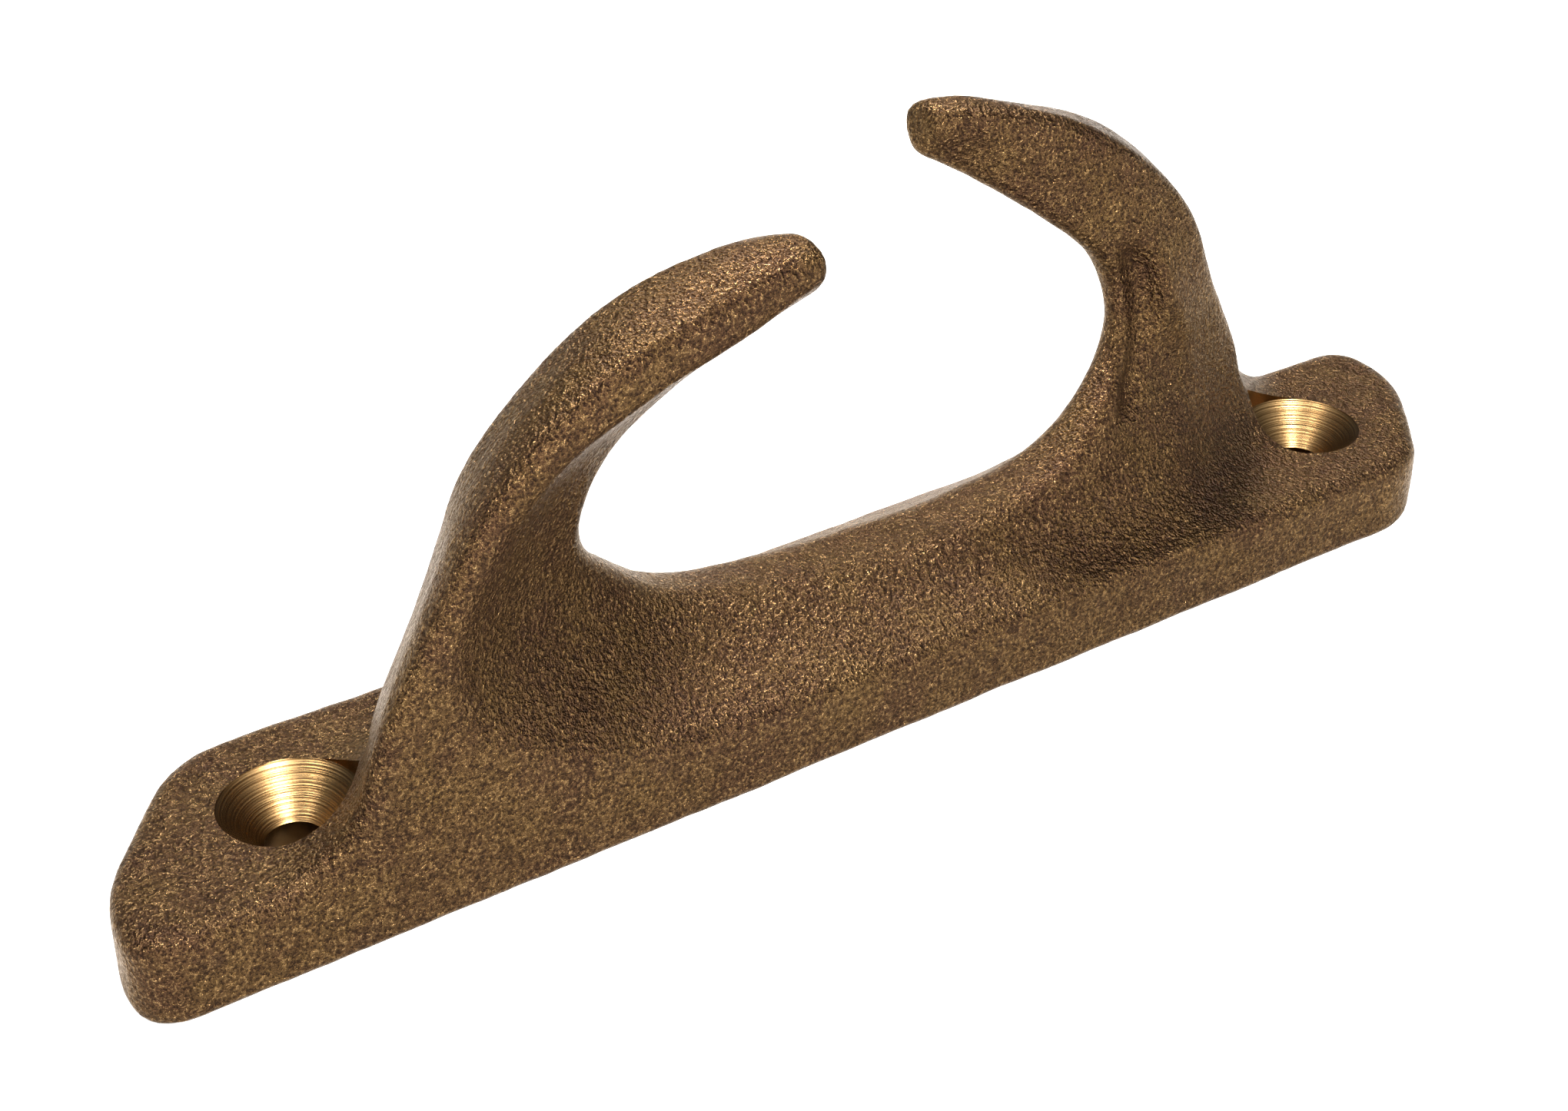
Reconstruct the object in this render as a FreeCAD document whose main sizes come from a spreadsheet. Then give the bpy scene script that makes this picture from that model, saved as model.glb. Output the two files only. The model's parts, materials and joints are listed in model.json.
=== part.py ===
import FreeCAD, Part
import math
import os

import Sketcher

# Open fairlead (bow chock): one bronze casting.
#
# Frame: origin at the centre of the underside, +Z up, +X along the base.
# The casting has two-fold rotational symmetry about Z and no mirror symmetry:
# the -X horn stands flush with the -Y side of the base and the +X horn with
# the +Y side, so a rope drops in sideways through the offset gap between tips.
#
# One loft makes the rope bed and both horns.  It runs through sections that
# fan out around the throat.  Each section has a narrow "ridge" on the rope
# side, a "flush" face on the base's side face, a "crest" at the top of the
# horn's bevel and a "far" face on the other side of the horn.  The flanks
# between the ridge and the two faces are slightly hollow.

NODE = "fairlead_casting"

# Driving dimensions, in millimetres and degrees.
DIMS = {
    "half_length": 78.5,
    "half_width": 12.2,
    "pad_thick": 8.5,
    "waist_x": 78.0,
    "waist_y": -2.5,
    "shoulder_x": 66.0,
    "nose_round": 4.0,
    "waist_round": 15.0,
    "shoulder_round": 10.0,
    "pad_edge_round": 1.2,
    "screw_offset": 60.0,
    "screw_radius": 2.6,
    "head_radius": 6.25,
    "head_relief": 9.0,
    "sink_depth": 4.2,
    "bed_ridge_half": 3.2,
    "tip_ridge_half": 1.2,
    "hollow_place": 0.5,
    "bed_hollow": 1.2,
    "tip_hollow": 0.2,
    "bed_rounding": 1.0,
    "tip_rounding": 0.3,
    "ridge_round": 2.8,
    "hollow_round": 2.0,
    "face_round": 1.2,
    "crest_round": 2.5,
    "far_round": 1.8,
}

# Table of offsets for the -X half; the +X half is its half-turn copy.
# (ridge_x, ridge_z) is the rope-side point of the section, ridge_z above the
# top of the base, and tilt turns the section from straight down (0) outwards.
# flush_in, flush_out, crest_out, far_out and far_in are distances from that
# point along the section, and the columns ending in y are offsets across it.
COLUMNS = ("ridge_x", "ridge_z", "tilt", "ridge_y", "flush_in", "flush_out",
           "crest_out", "crest_y", "far_out", "far_out_y", "far_in", "far_in_y")
STATIONS = (
    (0, 5.5, 0, 0, 6, 11, 12, 0, 11, 12, 6, 12),
    (-11, 6, 15, 0.5, 6.5, 12, 13, -0.5, 12, 11.5, 6.5, 11.5),
    (-21, 8, 30, 1, 9.5, 16, 17, -1.5, 15.5, 10, 9.5, 10),
    (-28, 13, 45, 0.5, 14, 26, 25, -4, 21, 5, 12, 5),
    (-32, 17, 60, -1.5, 17, 30, 29, -9.5, 24.5, -3, 12, 0),
    (-33, 20, 80, -2.5, 16, 20.5, 20, -9.5, 15.5, -3, 6.5, 0),
    (-31.5, 24.5, 100, -3, 12.5, 15.5, 15, -8.5, 12.5, -2.5, 5, -0.5),
    (-27.5, 29, 120, -3.5, 8.5, 12.5, 12.5, -8, 11, -2.5, 4.5, -2),
    (-21, 34, 140, -5.5, 4, 8.5, 9.5, -8, 9.5, -3.5, 4, -3.5),
    (-16.5, 37, 155, -7.5, 2.5, 6, 7.5, -8.5, 7, -5, 4, -5),
    (-12, 39.5, 168, -9.5, 2, 4, 5, -9.5, 4, -7.5, 2.5, -6.5),
)


def alias(column, station):
    """Cell alias of one entry of the table of offsets."""
    return "%s_st%d" % (column, station)


def fill_sheet(doc):
    """Put the driving dimensions and the table of offsets in a spreadsheet."""
    sheet = doc.addObject("Spreadsheet::Sheet", "Dims")
    for row, (name, value) in enumerate(DIMS.items(), start=1):
        sheet.set("A%d" % row, name)
        sheet.set("B%d" % row, "%g" % value)
        sheet.setAlias("B%d" % row, name)
    first = len(DIMS) + 3
    for place, column in enumerate(COLUMNS):
        letter = chr(ord("B") + place)
        sheet.set("%s%d" % (letter, first - 1), column)
        for station, values in enumerate(STATIONS):
            cell = "%s%d" % (letter, first + station)
            sheet.set(cell, "%g" % values[place])
            sheet.setAlias(cell, alias(column, station))
    doc.recompute()
    return sheet


class Cell:
    """A size of the sheet, as a number and as the text of an expression."""

    def __init__(self, value, text):
        self.value = value
        self.text = text

    def __neg__(self):
        return Cell(-self.value, "-(%s)" % self.text)

    def __add__(self, other):
        return Cell(self.value + other.value, "%s + %s" % (self.text, other.text))

    def __sub__(self, other):
        return Cell(self.value - other.value, "%s - (%s)" % (self.text, other.text))

    def __mul__(self, other):
        return Cell(self.value * other.value, "(%s) * (%s)" % (self.text, other.text))


def cell(sheet, name):
    """One cell of the sheet, found by its alias."""
    return Cell(float(sheet.get(name)), "Dims.%s" % name)


def number(value):
    """A bare factor that takes part in a Cell's arithmetic."""
    return Cell(value, "%g" % value)


def taper(sheet, name, station):
    """A size that runs evenly from the bed's value to the tips' value."""
    bed = cell(sheet, "bed_" + name)
    tip = cell(sheet, "tip_" + name)
    return bed + (tip - bed) * number(station / (len(STATIONS) - 1))


def bind_spot(sketch, axis, geo, spot):
    """Hold one coordinate of a sketch point at a sheet size."""
    if spot is None:
        line = -2 if axis == "X" else -1
        sketch.addConstraint(Sketcher.Constraint("PointOnObject", geo, 1, line))
        return
    rule = Sketcher.Constraint("Distance" + axis, -1, 1, geo, 1, spot.value)
    index = sketch.addConstraint(rule)
    sketch.setExpression("Constraints[%d]" % index, spot.text)


def rounded_outline(sketch, corners, radii):
    """Closed outline of lines and tangent arcs, counter-clockwise, all bound.

    corners holds (x, y) pairs of Cells, None for a coordinate on the axis, and
    radii the Cell of each corner's radius.
    """
    count = len(corners)
    spots = []
    for x, y in corners:
        spots.append(FreeCAD.Vector(x.value if x else 0, y.value if y else 0, 0))
    before = []
    middle = []
    after = []
    ends = []
    for i, spot in enumerate(spots):
        back = (spots[i - 1] - spot).normalize()
        ahead = (spots[(i + 1) % count] - spot).normalize()
        half = back.getAngle(ahead) / 2
        radius = radii[i].value
        reach = radius / math.tan(half)
        depth = radius / math.sin(half) - radius
        before.append(spot + back * reach)
        after.append(spot + ahead * reach)
        middle.append(spot + (back + ahead).normalize() * depth)
        # An arc runs counter-clockwise, so at a hollow corner its ends swap.
        ends.append((1, 2) if ahead.cross(back).z > 0 else (2, 1))
    arcs = []
    lines = []
    for i in range(count):
        arc = Part.Arc(before[i], middle[i], after[i])
        arcs.append(sketch.addGeometry(arc, False))
        line = Part.LineSegment(after[i], before[(i + 1) % count])
        lines.append(sketch.addGeometry(line, False))
    for i in range(count):
        arc, line, last = arcs[i], lines[i], lines[i - 1]
        start, end = ends[i]
        sketch.addConstraint(Sketcher.Constraint("Tangent", last, 2, arc, start))
        sketch.addConstraint(Sketcher.Constraint("Tangent", arc, end, line, 1))
        corner = sketch.addGeometry(Part.Point(spots[i]), True)
        sketch.addConstraint(Sketcher.Constraint("PointOnObject", corner, 1, last))
        sketch.addConstraint(Sketcher.Constraint("PointOnObject", corner, 1, line))
        bind_spot(sketch, "X", corner, corners[i][0])
        bind_spot(sketch, "Y", corner, corners[i][1])
        rule = Sketcher.Constraint("Radius", arc, radii[i].value)
        index = sketch.addConstraint(rule)
        sketch.setExpression("Constraints[%d]" % index, radii[i].text)


def half_turn(corners):
    """The same corners turned half a turn about Z."""
    return [(-x, -y) for x, y in corners]


def edges_where(shape, wanted):
    """Names of the edges whose middle point and direction pass a test."""
    names = []
    for number, edge in enumerate(shape.Edges, start=1):
        where = (edge.FirstParameter + edge.LastParameter) / 2
        if wanted(edge.valueAt(where), edge.tangentAt(where)):
            names.append("Edge%d" % number)
    return names


def build_base(doc, sheet):
    """Flat base with skewed rounded ends and softened top edges."""
    body = doc.addObject("PartDesign::Body", "base_pad")
    sketch = body.newObject("Sketcher::SketchObject", "base_outline")
    plane = [f for f in body.Origin.OriginFeatures if f.Role == "XY_Plane"][0]
    sketch.AttachmentSupport = [(plane, "")]
    sketch.MapMode = "FlatFace"
    length = cell(sheet, "half_length")
    width = cell(sheet, "half_width")
    nose = (-length, -width)
    shoulder = (cell(sheet, "shoulder_x"), -width)
    waist = (cell(sheet, "waist_x"), -cell(sheet, "waist_y"))
    half = [nose, shoulder, waist]
    radii = [cell(sheet, n) for n in ("nose_round", "shoulder_round", "waist_round")]
    rounded_outline(sketch, half + half_turn(half), radii + radii)
    pad = body.newObject("PartDesign::Pad", "base_slab")
    pad.Profile = sketch
    pad.setExpression("Length", "Dims.pad_thick")
    doc.recompute()
    top = sheet.get("pad_thick")
    soft = body.newObject("PartDesign::Fillet", "base_top_round")
    on_top = lambda spot, way: abs(spot.z - float(top)) < 0.01
    soft.Base = (pad, edges_where(pad.Shape, on_top))
    soft.setExpression("Radius", "Dims.pad_edge_round")
    body.Tip = soft
    doc.recompute()
    return body


def hollow(sheet, ridge_y, face_in, face_y, depth):
    """Corner part of the way from the ridge to a side face, pushed inwards."""
    place = cell(sheet, "hollow_place")
    return face_in * place, ridge_y + (face_y - ridge_y) * place + depth


def section(doc, sheet, station, side):
    """One rounded section of the horn and bed loft; side is -1 or +1 in X."""
    read = lambda column: cell(sheet, alias(column, station))
    flush_y = -cell(sheet, "half_width")
    ridge_low = read("ridge_y") - taper(sheet, "ridge_half", station)
    ridge_high = read("ridge_y") + taper(sheet, "ridge_half", station)
    depth = taper(sheet, "hollow", station)
    corners = [
        (None, ridge_low),
        hollow(sheet, ridge_low, read("flush_in"), flush_y, depth),
        (read("flush_in"), flush_y),
        (read("flush_out"), flush_y),
        (read("crest_out"), read("crest_y")),
        (read("far_out"), read("far_out_y")),
        (read("far_in"), read("far_in_y")),
        hollow(sheet, ridge_high, read("far_in"), read("far_in_y"), -depth),
        (None, ridge_high),
    ]
    names = ("ridge_round", "hollow_round", "face_round", "face_round", "crest_round",
             "far_round", "face_round", "hollow_round", "ridge_round")
    rounding = taper(sheet, "rounding", station)
    radii = [cell(sheet, name) * rounding for name in names]
    if side > 0:
        corners = [(x, -y) for x, y in reversed(corners)]
        radii = radii[::-1]
    name = "section_%s_%d" % ("left" if side < 0 else "right", station)
    sketch = doc.addObject("Sketcher::SketchObject", name)
    rounded_outline(sketch, corners, radii)
    height = cell(sheet, "pad_thick") + read("ridge_z")
    across = read("ridge_x") if side < 0 else -read("ridge_x")
    turn = read("tilt") if side < 0 else -read("tilt")
    sketch.Placement = FreeCAD.Placement(
        FreeCAD.Vector(across.value, 0, height.value),
        FreeCAD.Rotation(FreeCAD.Vector(0, 1, 0), 90 + turn.value))
    sketch.setExpression("Placement.Base.x", across.text)
    sketch.setExpression("Placement.Base.z", height.text)
    sketch.setExpression("Placement.Rotation.Angle", "90 + %s" % turn.text)
    return sketch


def build_horns(doc, sheet):
    """Rope bed and both horns, one loft from the right tip to the left tip."""
    last = len(STATIONS) - 1
    sections = [section(doc, sheet, i, 1) for i in range(last, 0, -1)]
    sections += [section(doc, sheet, i, -1) for i in range(last + 1)]
    doc.recompute()
    loft = doc.addObject("Part::Loft", "horns_and_bed")
    loft.Sections = sections
    loft.Solid = True
    loft.Ruled = False
    loft.MaxDegree = 2
    doc.recompute()
    return loft


def build_drills(doc):
    """Tools for the two screw holes: shank, 82 degree sink and head relief."""
    tools = []
    for name, sign in (("left", "-"), ("right", "")):
        shank = doc.addObject("Part::Cylinder", "shank_%s" % name)
        shank.setExpression("Radius", "Dims.screw_radius")
        shank.setExpression("Height", "Dims.pad_thick + 2")
        shank.Placement.Base = FreeCAD.Vector(0, 0, -1)
        sink = doc.addObject("Part::Cone", "sink_%s" % name)
        sink.setExpression("Radius1", "Dims.screw_radius")
        sink.setExpression("Radius2", "Dims.head_radius")
        sink.setExpression("Height", "Dims.sink_depth")
        sink.setExpression("Placement.Base.z", "Dims.pad_thick - Dims.sink_depth")
        relief = doc.addObject("Part::Cylinder", "relief_%s" % name)
        relief.setExpression("Radius", "Dims.head_radius")
        relief.setExpression("Height", "Dims.head_relief")
        relief.setExpression("Placement.Base.z", "Dims.pad_thick")
        for tool in (shank, sink, relief):
            tool.setExpression("Placement.Base.x", sign + "Dims.screw_offset")
            tools.append(tool)
    return tools


def check(doc):
    """Stop if any object failed to build."""
    for obj in doc.Objects:
        bad = [word for word in obj.State if word in ("Invalid", "Error")]
        if bad:
            raise RuntimeError("%s is %s" % (obj.Label, bad))


def build(doc):
    """The whole casting as one document object."""
    sheet = fill_sheet(doc)
    base = build_base(doc, sheet)
    horns = build_horns(doc, sheet)
    solid = doc.addObject("Part::MultiFuse", "rough_casting")
    solid.Shapes = [base, horns]
    drills = doc.addObject("Part::MultiFuse", "drills")
    drills.Shapes = build_drills(doc)
    casting = doc.addObject("Part::Cut", "casting")
    casting.Base = solid
    casting.Tool = drills
    casting.Label = NODE
    doc.recompute()
    return casting


def export(casting):
    """Write the casting's STEP file."""
    shape = casting.Shape
    if shape.isNull() or not shape.isValid() or len(shape.Solids) != 1:
        raise RuntimeError("%s is not one valid solid" % casting.Label)
    os.makedirs("parts", exist_ok=True)
    shape.exportStep("parts/%s.step" % casting.Label)


document = FreeCAD.newDocument("fairlead")
casting = build(document)
check(document)
export(casting)
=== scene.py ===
import json
import math

import bpy
import numpy as np
import openvdb
from mathutils import Matrix, Vector, noise


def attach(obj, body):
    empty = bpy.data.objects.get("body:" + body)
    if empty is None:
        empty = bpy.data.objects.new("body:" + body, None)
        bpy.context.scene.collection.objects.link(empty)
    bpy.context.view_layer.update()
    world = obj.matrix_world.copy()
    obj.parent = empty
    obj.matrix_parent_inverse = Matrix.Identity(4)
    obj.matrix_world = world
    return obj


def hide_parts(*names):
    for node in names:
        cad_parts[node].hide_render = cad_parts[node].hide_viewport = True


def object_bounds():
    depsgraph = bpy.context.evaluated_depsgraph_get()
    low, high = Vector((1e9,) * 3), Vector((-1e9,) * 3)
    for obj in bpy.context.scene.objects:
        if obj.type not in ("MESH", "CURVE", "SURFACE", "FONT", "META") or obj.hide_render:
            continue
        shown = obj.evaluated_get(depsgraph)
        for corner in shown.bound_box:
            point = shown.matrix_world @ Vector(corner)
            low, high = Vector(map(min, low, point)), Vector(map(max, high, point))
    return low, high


# Open fairlead: one sand-cast bronze piece with two machined countersinks.
# The cast skin is rebuilt from the CAD solid as a distance field, so that its
# inner corners get the soft fillets of a casting and its surface the waviness
# of moulding sand.  The screw holes are then cut crisply with a turned tool.

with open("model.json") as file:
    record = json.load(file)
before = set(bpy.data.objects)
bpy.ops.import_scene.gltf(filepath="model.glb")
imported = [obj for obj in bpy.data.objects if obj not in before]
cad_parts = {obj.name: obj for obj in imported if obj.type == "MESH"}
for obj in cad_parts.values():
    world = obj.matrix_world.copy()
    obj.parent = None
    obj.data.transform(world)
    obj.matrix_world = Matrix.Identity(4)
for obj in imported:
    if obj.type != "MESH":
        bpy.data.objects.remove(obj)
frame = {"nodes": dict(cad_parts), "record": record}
cad_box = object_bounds()

NODE = "fairlead_casting"
BODY = "root"
MM = 0.001
SCREWS = next(m for m in frame["record"]["mounts"] if m["name"] == "screw_holes")["dims"]

# ---- sizes, in millimetres and degrees -------------------------------------
CELL = 0.45                 # cell of the distance field and of the final mesh
BAND = 20                   # half width of the field's band, in cells
MARGIN = 12.0               # empty space kept around the part in the grid
SOFTEN = 0.36               # blur of the field, evens out the loft's facets

FILLET = 0.9                # radius that fills inner corners of the horns
COVE = 8.0                  # larger radius round the rope bed
ROOT = 8.5                  # radius where the horns stand on the pad
EDGE = 0.3                  # radius that rounds outer corners
BED_ENDS = (44.0, 52.0)     # |X| over which the cove gives way to the roots
COVE_FADE = 8.0             # height above THROAT over which the cove fades out
ROOT_FADE = (5.0, 13.0)     # heights above the pad over which the roots fade out

PAD_TOP = 8.5
HOLE_X = SCREWS["spacing_x_mm"] / 2     # screw holes lie at +-HOLE_X on the X axis
SHANK = SCREWS["hole_r_mm"]             # radius of the plain hole
SINK_ANGLE = 41.0           # half the countersink's included angle
SINK = 6.25                 # radius of the countersink at the pad's top
RELIEF = 9.0                # height of the spot-faced relief above the pad
PLUG = 8.0                  # radius of the temporary plug that fills a hole
TOOL_SIDES = 160            # facets round the turned tool
TOOL_BELOW = 3.0            # how far the tool reaches below the underside

THROAT = (24.0, 29.0)       # X and Z of the centre of the throat's corner
CREASE_R = 11.3             # radius of the crease round that corner
CREASE_DEEP = 2.0           # radius of the tube that carves the crease
CREASE_OUT = 0.4            # how far the tube stands off the horn's flank
CREASE_SOFT = 0.6           # width of the soft lip along the crease
CREASE_TURNS = (-60.0, 0.0, 70.0)   # directions from THROAT: 0 outwards, 90 up
CREASE_FLANK = (-3.0, 0.6, 2.5)     # place across the horn in those directions
CREASE_MIDDLE = -10.0       # direction in which the crease is deepest
CREASE_FADE = (30.0, 62.0)  # turns away from there over which it fades out

# Wavelength, height and offset of each wave of the sand-cast skin.
SAND_WAVES = ((9.0, 0.12, Vector((0.0, 0.0, 0.0))),
              (3.1, 0.05, Vector((7.0, 0.0, 0.0))),
              (1.25, 0.03, Vector((0.0, 13.0, 0.0))))
CRISP_ANGLE = 38.0          # faces that meet more sharply keep a crisp edge

# ---- camera, in millimetres and degrees ------------------------------------
CAMERA = {"azimuth": -34.4, "elevation": 31.66, "roll": 0.17, "distance": 225.2,
          "aim": (-5.15, 5.63, 11.3), "lens": 52.93, "sensor": 36.0}
CLIP_START = 0.01           # metres

# ---- light, in metres, degrees and watts -----------------------------------
# Name, azimuth, elevation, width, height, power and colour.
LIGHTS = (("key", -12, 45, 0.10, 0.14, 11.0, (1.0, 0.97, 0.92)),
          ("side", -80, 50, 0.08, 0.30, 3.0, (1.0, 0.98, 0.95)),
          ("back", 150, 42, 0.16, 0.14, 9.0, (1.0, 1.0, 1.0)))
LIGHT_DISTANCE = 0.7

# Floor and backdrop glow for camera rays only, so that they look pale from any
# side without adding light or reflections to the casting.
FLOOR_HALF = 3000.0         # millimetres
FLOOR_TONE = 0.9
FLOOR_ROUGHNESS = 0.9
FLOOR_GLOW = 0.55
BACKDROP_GLOW = 0.8
SKY_RISE = (-0.1, 0.9)      # Z of the direction over which the sky brightens
SKY_GLOW = (0.15, 0.20)     # its strength below and above that rise
WHITE = (1.0, 1.0, 1.0, 1.0)

# ---- colours (linear), noise scales per metre, relief in metres ------------
PURPLE_BROWN = (0.056, 0.029, 0.016)
OLIVE_BROWN = (0.080, 0.046, 0.019)
DARK_STAIN = (0.046, 0.026, 0.018)
# Colour of the dark specks, and also of the painted shade in the hollows.
DARK_SPECK_AND_SHADE = (0.018, 0.010, 0.007)
GOLD_SPECK = (0.260, 0.160, 0.070)
CAST_TINT = (0.75, 0.68, 0.60, 1.0)
BLOTCHES = 140.0
STAINS = 380.0
LUMPS = 1500.0
SPECKS = 3000.0
LUMP_RELIEF = 0.00040
SPECK_RELIEF = 0.00020

RING_SHADE = (0.10, 0.056, 0.021)
RING_SHINE = (0.25, 0.16, 0.072)
GROOVE_SHADE = (0.09, 0.05, 0.02)
GROOVES = 5200.0
RINGS = 9000.0
RING_RELIEF = 0.00006
TURNED_ROUGHNESS = 0.27
TURNED_STREAK = 0.8         # how far the highlight is stretched


# ---- distance field --------------------------------------------------------
def level_set(points, triangles=None, quads=None):
    """Signed distance grid of a closed mesh, in millimetres, negative inside."""
    faces = {}
    if triangles is not None:
        faces["triangles"] = np.ascontiguousarray(triangles, np.uint32)
    if quads is not None:
        faces["quads"] = np.ascontiguousarray(quads, np.uint32)
    place = openvdb.createLinearTransform(voxelSize=CELL)
    return openvdb.FloatGrid.createLevelSetFromPolygons(
        np.ascontiguousarray(points, np.float32), transform=place, halfWidth=BAND, **faces)


def grid_of(field, first):
    """A grid that holds a block of values whose first cell has index first."""
    grid = openvdb.FloatGrid(BAND * CELL)
    grid.transform = openvdb.createLinearTransform(voxelSize=CELL)
    grid.copyFromArray(np.ascontiguousarray(field, np.float32), ijk=first)
    return grid


def block_of(grid, first, count):
    """The grid's values in a block of count cells that starts at index first."""
    field = np.empty(count)
    grid.copyToArray(field, ijk=first)
    return field


def shifted(grid, offset):
    """The grid of the surface that lies offset outside (+) or inside (-)."""
    points, quads = grid.convertToQuads(isovalue=offset)
    return level_set(points, quads=quads)


def close_corners(grid, radius):
    """Fills inner corners to a radius, by growing and shrinking the surface."""
    return shifted(shifted(grid, radius), -radius)


def round_corners(grid, radius):
    """Rounds outer corners to a radius, by shrinking and growing the surface."""
    return close_corners(grid, -radius)


def smooth_union(a, b, blend):
    """Union of two fields with a soft joint of about blend millimetres."""
    mix = np.clip(0.5 + 0.5 * (b - a) / blend, 0, 1)
    return b + (a - b) * mix - blend * mix * (1 - mix)


def blur(field, sigma):
    """Gaussian blur of the field along its three axes, sigma in cells."""
    reach = int(math.ceil(3 * sigma))
    steps = np.arange(-reach, reach + 1)
    weights = np.exp(-0.5 * (steps / sigma) ** 2)
    weights /= weights.sum()
    for axis in range(3):
        field = sum(w * np.roll(field, int(s), axis) for s, w in zip(steps, weights))
    return field


def ramp(value, low, high):
    """0 below low, 1 above high, smooth between."""
    share = np.clip((value - low) / (high - low), 0, 1)
    return share * share * (3 - 2 * share)


def cad_mesh():
    """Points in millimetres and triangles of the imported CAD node."""
    mesh = frame["nodes"][NODE].data
    mesh.calc_loop_triangles()
    points = np.empty(len(mesh.vertices) * 3, np.float32)
    mesh.vertices.foreach_get("co", points)
    triangles = np.empty(len(mesh.loop_triangles) * 3, np.int32)
    mesh.loop_triangles.foreach_get("vertices", triangles)
    return points.reshape(-1, 3) / MM, triangles.reshape(-1, 3)


def plugs(x, y, z):
    """Field of the discs that fill the screw holes in the base."""
    radial = np.hypot(np.abs(x) - HOLE_X, y) - PLUG
    return np.maximum(radial, np.maximum(-z, z - PAD_TOP))


def creases(x, y, z):
    """Tubes that carve the crease along each horn's far side, positive inside."""
    out = np.abs(x) - THROAT[0]
    up = z - THROAT[1]
    across = y * np.sign(x)
    turn = np.degrees(np.arctan2(up, out))
    flank = np.interp(turn, CREASE_TURNS, CREASE_FLANK)
    radius = CREASE_DEEP * (1 - ramp(np.abs(turn - CREASE_MIDDLE), *CREASE_FADE))
    return radius - np.hypot(np.hypot(out, up) - CREASE_R, across - flank + CREASE_OUT)


def cast_field():
    """Field of the cast skin, its holes filled, and the index of its first cell."""
    low, high = (np.array(corner) / MM for corner in cad_box)
    first = tuple(int(i) for i in np.floor((low - MARGIN) / CELL))
    count = np.ceil((high + MARGIN) / CELL).astype(int) - first
    axes = [(first[i] + np.arange(count[i])) * CELL for i in range(3)]
    x, y, z = np.meshgrid(*axes, indexing="ij", sparse=True)
    drilled = block_of(level_set(*cad_mesh()), first, count)
    whole = grid_of(np.minimum(drilled, plugs(x, y, z)), first)
    fine, cove, root = (block_of(close_corners(whole, radius), first, count)
                        for radius in (FILLET, COVE, ROOT))
    beyond_bed = ramp(np.abs(x), *BED_ENDS)
    at_cove = (1 - ramp(z, THROAT[1], THROAT[1] + COVE_FADE)) * (1 - beyond_bed)
    at_root = (1 - ramp(z, PAD_TOP + ROOT_FADE[0], PAD_TOP + ROOT_FADE[1])) * beyond_bed
    field = fine * (1 - at_cove - at_root) + cove * at_cove + root * at_root
    field = -smooth_union(-field, -creases(x, y, z), CREASE_SOFT)
    field = block_of(round_corners(grid_of(field, first), EDGE), first, count)
    return blur(field, SOFTEN / CELL), first


# ---- the casting -----------------------------------------------------------
def mesh_object(name, points, faces):
    """A mesh object in metres, from points in millimetres."""
    mesh = bpy.data.meshes.new(name)
    mesh.from_pydata((np.asarray(points) * MM).tolist(), [], [list(f) for f in faces])
    mesh.validate()
    mesh.update()
    obj = bpy.data.objects.new(name, mesh)
    bpy.context.scene.collection.objects.link(obj)
    return obj


def sand_relief(point):
    """Height of the sand-cast skin at a point, in millimetres."""
    return sum(height * noise.noise(point / size + offset)
               for size, height, offset in SAND_WAVES)


def roughen(obj):
    """Gives the skin the waviness and grain of moulding sand."""
    mesh = obj.data
    count = len(mesh.vertices)
    points = np.empty(count * 3, np.float32)
    normals = np.empty(count * 3, np.float32)
    mesh.vertices.foreach_get("co", points)
    mesh.vertex_normals.foreach_get("vector", normals)
    points = points.reshape(-1, 3)
    heights = np.array([sand_relief(Vector(point)) for point in points / MM])
    points += normals.reshape(-1, 3) * heights[:, None] * MM
    mesh.vertices.foreach_set("co", points.ravel())
    mesh.update()


def turned_tool(name, x):
    """Tool for one screw hole: shank, countersink and relief above it."""
    depth = (SINK - SHANK) / math.tan(math.radians(SINK_ANGLE))
    profile = [(SHANK, -TOOL_BELOW), (SHANK, PAD_TOP - depth), (SINK, PAD_TOP),
               (SINK, PAD_TOP + RELIEF)]
    points = []
    for radius, height in profile:
        for i in range(TOOL_SIDES):
            turn = 2 * math.pi * i / TOOL_SIDES
            points.append((x + radius * math.cos(turn), radius * math.sin(turn), height))
    faces = []
    for ring in range(len(profile) - 1):
        lower = ring * TOOL_SIDES
        upper = lower + TOOL_SIDES
        for i in range(TOOL_SIDES):
            j = (i + 1) % TOOL_SIDES
            faces.append((lower + i, lower + j, upper + j, upper + i))
    top = (len(profile) - 1) * TOOL_SIDES
    faces.append(tuple(range(TOOL_SIDES))[::-1])
    faces.append(tuple(range(top, top + TOOL_SIDES)))
    return mesh_object(name, points, faces)


def cut(obj, tool):
    """Cuts the tool out of the casting; the cut takes the tool's material."""
    cutter = obj.modifiers.new("cut", "BOOLEAN")
    cutter.operation = "DIFFERENCE"
    cutter.object = tool
    cutter.solver = "EXACT"
    cutter.material_mode = "TRANSFER"
    bpy.context.view_layer.objects.active = obj
    bpy.ops.object.modifier_apply(modifier=cutter.name)
    bpy.data.objects.remove(tool)


def build_casting(cast, turned):
    """The whole visible fairlead."""
    points, quads = grid_of(*cast_field()).convertToQuads(isovalue=0.0)
    outward = quads[:, ::-1]
    obj = mesh_object("fairlead_bronze", points, outward)
    roughen(obj)
    obj.data.materials.append(cast)
    for name, x in (("drill_left", -HOLE_X), ("drill_right", HOLE_X)):
        tool = turned_tool(name, x)
        tool.data.materials.append(turned)
        cut(obj, tool)
    for polygon in obj.data.polygons:
        polygon.use_smooth = True
    with bpy.context.temp_override(object=obj, active_object=obj, selected_objects=[obj],
                                   selected_editable_objects=[obj]):
        bpy.ops.object.shade_smooth_by_angle(angle=math.radians(CRISP_ANGLE))
    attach(obj, BODY)
    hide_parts(NODE)


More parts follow.
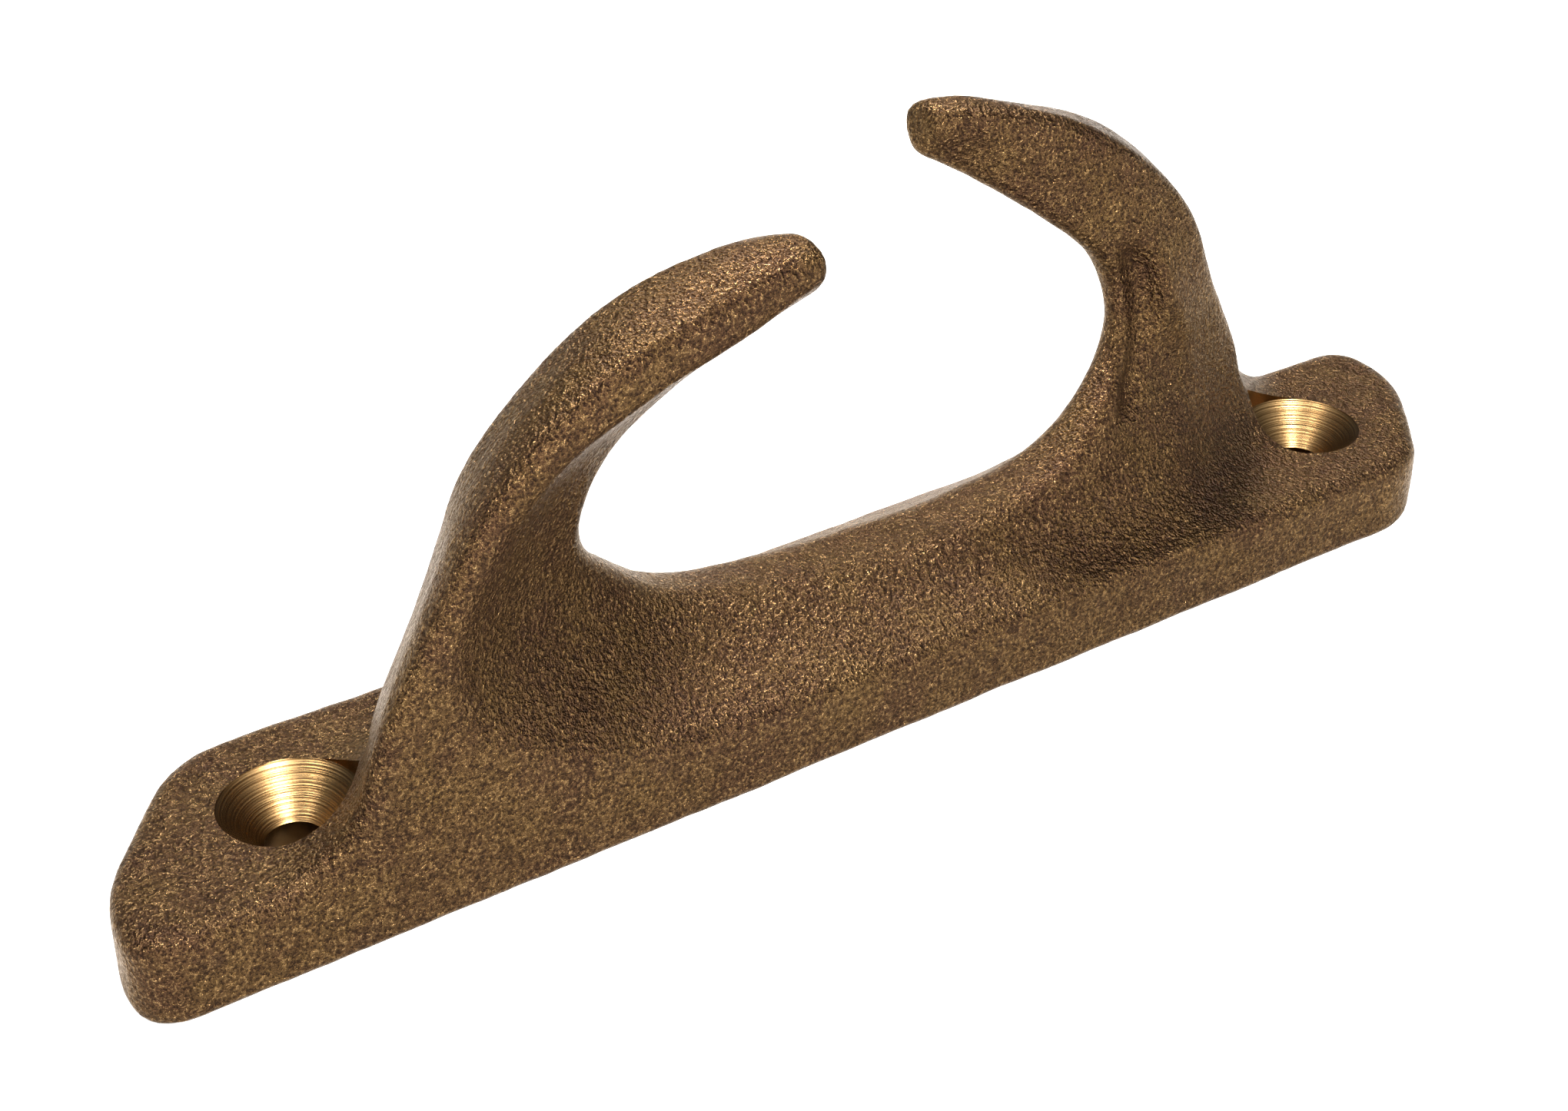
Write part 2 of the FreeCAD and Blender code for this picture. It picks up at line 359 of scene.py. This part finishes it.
# ---- materials -------------------------------------------------------------
class Nodes:
    """Short calls for building a node material."""

    def __init__(self, name):
        self.material = bpy.data.materials.new(name)
        self.material.use_nodes = True
        self.tree = self.material.node_tree
        self.shader = self.tree.nodes["Principled BSDF"]

    def add(self, kind, **settings):
        node = self.tree.nodes.new(kind)
        for key, value in settings.items():
            setattr(node, key, value)
        return node

    def link(self, source, target):
        self.tree.links.new(source, target)

    def noise(self, where, scale, detail, roughness):
        """Noise in space, 0 to 1."""
        node = self.add("ShaderNodeTexNoise")
        node.inputs["Scale"].default_value = scale
        node.inputs["Detail"].default_value = detail
        node.inputs["Roughness"].default_value = roughness
        self.link(where, node.inputs["Vector"])
        return node.outputs["Fac"]

    def line_noise(self, along, scale, detail):
        """Noise along one value, 0 to 1."""
        node = self.add("ShaderNodeTexNoise", noise_dimensions="1D")
        node.inputs["Scale"].default_value = scale
        node.inputs["Detail"].default_value = detail
        self.link(along, node.inputs["W"])
        return node.outputs["Fac"]

    def spread(self, value, low, high, to_low=0.0, to_high=1.0):
        """Smooth step from to_low at low to to_high at high."""
        node = self.add("ShaderNodeMapRange", interpolation_type="SMOOTHSTEP")
        self.link(value, node.inputs["Value"])
        for key, number in (("From Min", low), ("From Max", high),
                            ("To Min", to_low), ("To Max", to_high)):
            node.inputs[key].default_value = number
        return node.outputs["Result"]

    def math(self, operation, a, b=None):
        """One arithmetic step; a and b are numbers or sockets."""
        node = self.add("ShaderNodeMath", operation=operation)
        for socket, value in zip(node.inputs, (a, b)):
            if value is None:
                continue
            if isinstance(value, (int, float)):
                socket.default_value = value
            else:
                self.link(value, socket)
        return node.outputs[0]

    def mix(self, factor, a, b):
        """Colour a where the factor is 0, b where it is 1; colours or sockets."""
        node = self.add("ShaderNodeMix", data_type="RGBA", blend_type="MIX")
        self.link(factor, node.inputs[0])
        for socket, value in ((node.inputs[6], a), (node.inputs[7], b)):
            if isinstance(value, tuple):
                socket.default_value = value + (1.0,)
            else:
                self.link(value, socket)
        return node.outputs[2]

    def tint(self, under, colour, mask, share):
        """The colour under, mixed by share towards another where the mask is 1."""
        return self.mix(self.math("MULTIPLY", mask, share), under, colour)

    def bump(self, height, strength, distance, normal=None):
        """Normal bent by a height, on top of another normal if one is given."""
        node = self.add("ShaderNodeBump")
        node.inputs["Strength"].default_value = strength
        node.inputs["Distance"].default_value = distance
        self.link(height, node.inputs["Height"])
        if normal is not None:
            self.link(normal, node.inputs["Normal"])
        return node.outputs["Normal"]


def cast_bronze():
    """Sand-cast bronze: blotched brown skin, stains, specks, and painted shade in its hollows."""
    n = Nodes("sand_cast_bronze")
    where = n.add("ShaderNodeTexCoord").outputs["Object"]
    blotches = n.noise(where, BLOTCHES, detail=5.0, roughness=0.7)
    stains = n.noise(where, STAINS, detail=4.0, roughness=0.7)
    specks = n.noise(where, SPECKS, detail=3.0, roughness=0.75)
    lumps = n.noise(where, LUMPS, detail=2.0, roughness=0.6)
    bend = n.add("ShaderNodeNewGeometry").outputs["Pointiness"]
    skin = n.mix(n.spread(blotches, low=0.30, high=0.70), PURPLE_BROWN, OLIVE_BROWN)
    skin = n.tint(skin, DARK_STAIN, n.spread(stains, low=0.56, high=0.74), share=0.6)
    skin = n.tint(skin, DARK_SPECK_AND_SHADE, n.spread(specks, low=0.49, high=0.40), share=0.9)
    skin = n.tint(skin, GOLD_SPECK, n.spread(specks, low=0.54, high=0.64), share=0.7)
    # Painted shade: where the surface bends inwards (low pointiness) its colour is darkened.
    skin = n.tint(skin, DARK_SPECK_AND_SHADE, n.spread(bend, low=0.48, high=0.44), share=0.7)
    n.link(skin, n.shader.inputs["Base Color"])
    n.shader.inputs["Metallic"].default_value = 1.0
    n.shader.inputs["Specular Tint"].default_value = CAST_TINT
    rough = n.spread(specks, low=0.35, high=0.65, to_low=0.46, to_high=0.22)
    n.link(rough, n.shader.inputs["Roughness"])
    lumpy = n.bump(lumps, strength=1.0, distance=LUMP_RELIEF)
    grainy = n.bump(specks, strength=1.0, distance=SPECK_RELIEF, normal=lumpy)
    n.link(grainy, n.shader.inputs["Normal"])
    return n.material


def from_hole(n):
    """Offset and distance from the axis of the nearer screw hole, in metres."""
    parts = n.add("ShaderNodeSeparateXYZ")
    n.link(n.add("ShaderNodeTexCoord").outputs["Object"], parts.inputs[0])
    beyond = n.math("SUBTRACT", n.math("ABSOLUTE", parts.outputs["X"]), HOLE_X * MM)
    side = n.math("SIGN", parts.outputs["X"])
    offset = n.add("ShaderNodeCombineXYZ")
    n.link(n.math("MULTIPLY", beyond, side), offset.inputs["X"])
    n.link(parts.outputs["Y"], offset.inputs["Y"])
    length = n.add("ShaderNodeVectorMath", operation="LENGTH")
    n.link(offset.outputs[0], length.inputs[0])
    return offset.outputs[0], length.outputs["Value"]


def turned_bronze():
    """Bright turned bronze of the countersinks, with rings round each hole."""
    n = Nodes("turned_bronze")
    offset, distance = from_hole(n)
    tangent = n.add("ShaderNodeVectorMath", operation="CROSS_PRODUCT")
    tangent.inputs[0].default_value = (0.0, 0.0, 1.0)
    n.link(offset, tangent.inputs[1])
    along_ring = n.add("ShaderNodeVectorMath", operation="NORMALIZE")
    n.link(tangent.outputs[0], along_ring.inputs[0])
    rings = n.line_noise(distance, RINGS, detail=3.0)
    grooves = n.line_noise(distance, GROOVES, detail=1.0)
    tone = n.mix(n.spread(rings, low=0.35, high=0.65), RING_SHADE, RING_SHINE)
    tone = n.tint(tone, GROOVE_SHADE, n.spread(grooves, low=0.40, high=0.30), share=0.55)
    n.link(tone, n.shader.inputs["Base Color"])
    n.shader.inputs["Metallic"].default_value = 1.0
    n.shader.inputs["Roughness"].default_value = TURNED_ROUGHNESS
    n.shader.inputs["Anisotropic"].default_value = TURNED_STREAK
    n.link(along_ring.outputs[0], n.shader.inputs["Tangent"])
    n.link(n.bump(rings, strength=0.45, distance=RING_RELIEF), n.shader.inputs["Normal"])
    return n.material


def pale_floor():
    """Plain pale matt floor material."""
    n = Nodes("pale_floor")
    n.shader.inputs["Base Color"].default_value = (FLOOR_TONE, FLOOR_TONE, FLOOR_TONE, 1.0)
    n.shader.inputs["Roughness"].default_value = FLOOR_ROUGHNESS
    n.shader.inputs["Emission Color"].default_value = WHITE
    seen = n.add("ShaderNodeLightPath").outputs["Is Camera Ray"]
    n.link(n.math("MULTIPLY", seen, FLOOR_GLOW), n.shader.inputs["Emission Strength"])
    return n.material


# ---- studio ----------------------------------------------------------------
def direction(azimuth, elevation):
    """Unit vector from the object towards a viewer or light."""
    a, e = math.radians(azimuth), math.radians(elevation)
    return Vector((math.sin(a) * math.cos(e), -math.cos(a) * math.cos(e), math.sin(e)))


def soft_light(name, azimuth, elevation, width, height, power, colour):
    """Rectangular area light that faces the object."""
    lamp = bpy.data.lights.new(name, "AREA")
    lamp.shape = "RECTANGLE"
    lamp.size = width
    lamp.size_y = height
    lamp.energy = power
    lamp.color = colour
    obj = bpy.data.objects.new(name, lamp)
    bpy.context.scene.collection.objects.link(obj)
    way = direction(azimuth, elevation)
    obj.location = way * LIGHT_DISTANCE
    obj.rotation_mode = "QUATERNION"
    obj.rotation_quaternion = (-way).to_track_quat("-Z", "Y")


def floor():
    """Square floor under the object."""
    corners = [(-FLOOR_HALF, -FLOOR_HALF, 0), (FLOOR_HALF, -FLOOR_HALF, 0),
               (FLOOR_HALF, FLOOR_HALF, 0), (-FLOOR_HALF, FLOOR_HALF, 0)]
    ground = mesh_object("floor", corners, [(0, 1, 2, 3)])
    ground.data.materials.append(pale_floor())


def sky():
    """Faint even sky that lights the object, and the camera's pale backdrop."""
    world = bpy.data.worlds.new("studio")
    world.use_nodes = True
    bpy.context.scene.world = world
    nodes, links = world.node_tree.nodes, world.node_tree.links
    background = nodes["Background"]
    parts = nodes.new("ShaderNodeSeparateXYZ")
    links.new(nodes.new("ShaderNodeTexCoord").outputs["Generated"], parts.inputs[0])
    glow = nodes.new("ShaderNodeMapRange")
    links.new(parts.outputs["Z"], glow.inputs["Value"])
    for key, number in zip(("From Min", "From Max", "To Min", "To Max"), SKY_RISE + SKY_GLOW):
        glow.inputs[key].default_value = number
    strength = nodes.new("ShaderNodeMix")
    strength.inputs["B"].default_value = BACKDROP_GLOW
    links.new(nodes.new("ShaderNodeLightPath").outputs["Is Camera Ray"], strength.inputs["Factor"])
    links.new(glow.outputs["Result"], strength.inputs["A"])
    links.new(strength.outputs["Result"], background.inputs["Strength"])
    background.inputs["Color"].default_value = WHITE


def studio():
    """Floor, lights and sky."""
    floor()
    for light in LIGHTS:
        soft_light(*light)
    sky()
    bpy.context.scene.view_settings.view_transform = "Standard"


def camera():
    """Camera at the wanted view of the object."""
    data = bpy.data.cameras.new("camera")
    data.lens = CAMERA["lens"]
    data.sensor_width = CAMERA["sensor"]
    data.clip_start = CLIP_START
    obj = bpy.data.objects.new("camera", data)
    bpy.context.scene.collection.objects.link(obj)
    back = direction(CAMERA["azimuth"], CAMERA["elevation"])
    right = Vector((0, 0, 1)).cross(back).normalized()
    up = back.cross(right)
    roll = math.radians(CAMERA["roll"])
    turned_right = right * math.cos(roll) + up * math.sin(roll)
    turned_up = up * math.cos(roll) - right * math.sin(roll)
    axes = Matrix((turned_right, turned_up, back)).transposed().to_4x4()
    spot = (Vector(CAMERA["aim"]) + back * CAMERA["distance"]) * MM
    obj.matrix_world = Matrix.Translation(spot) @ axes
    bpy.context.scene.camera = obj


build_casting(cast_bronze(), turned_bronze())
studio()
camera()
